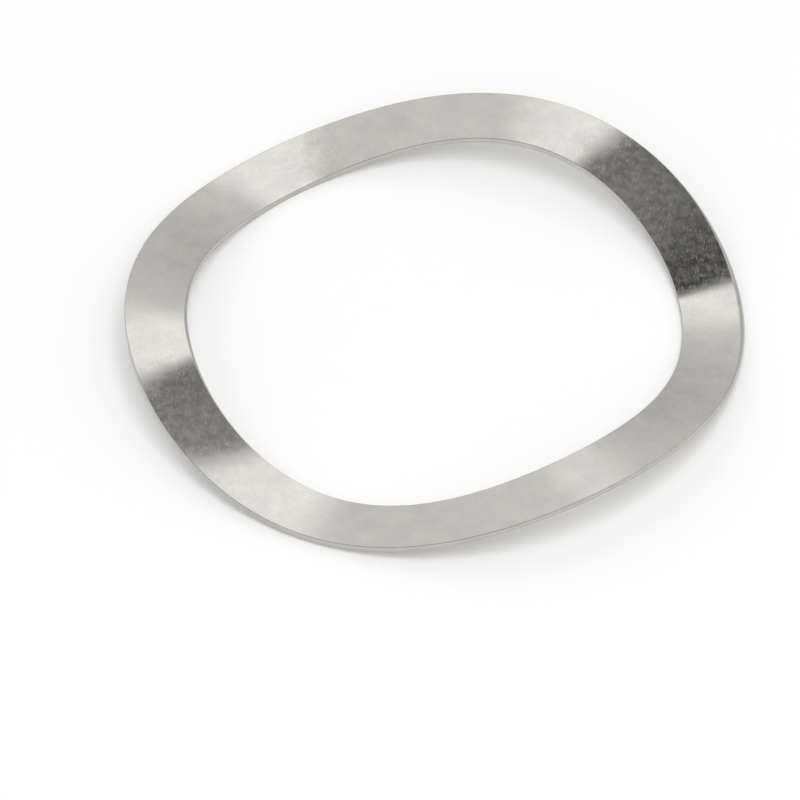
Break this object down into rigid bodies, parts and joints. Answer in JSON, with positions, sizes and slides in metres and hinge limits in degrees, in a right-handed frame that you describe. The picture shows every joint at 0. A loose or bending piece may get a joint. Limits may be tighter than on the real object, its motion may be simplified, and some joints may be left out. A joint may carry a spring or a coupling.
{
  "type": "wave spring washer",
  "caption": "Round spring washer of thin satin steel sheet, pressed into even waves to preload a bearing in its housing.",
  "frame": {"origin": "on the bore's axis, in the plane that the feet of the troughs rest on", "axes": "+Z along the bore, from the feet to the crests; +X through the first trough"},
  "size_m": [0.0395, 0.0394, 0.003],
  "materials": {
    "spring_steel": "satin cold-rolled"
  },
  "bodies": {
    "root": {"wave_washer": "spring_steel"}
  },
  "joints": []
}
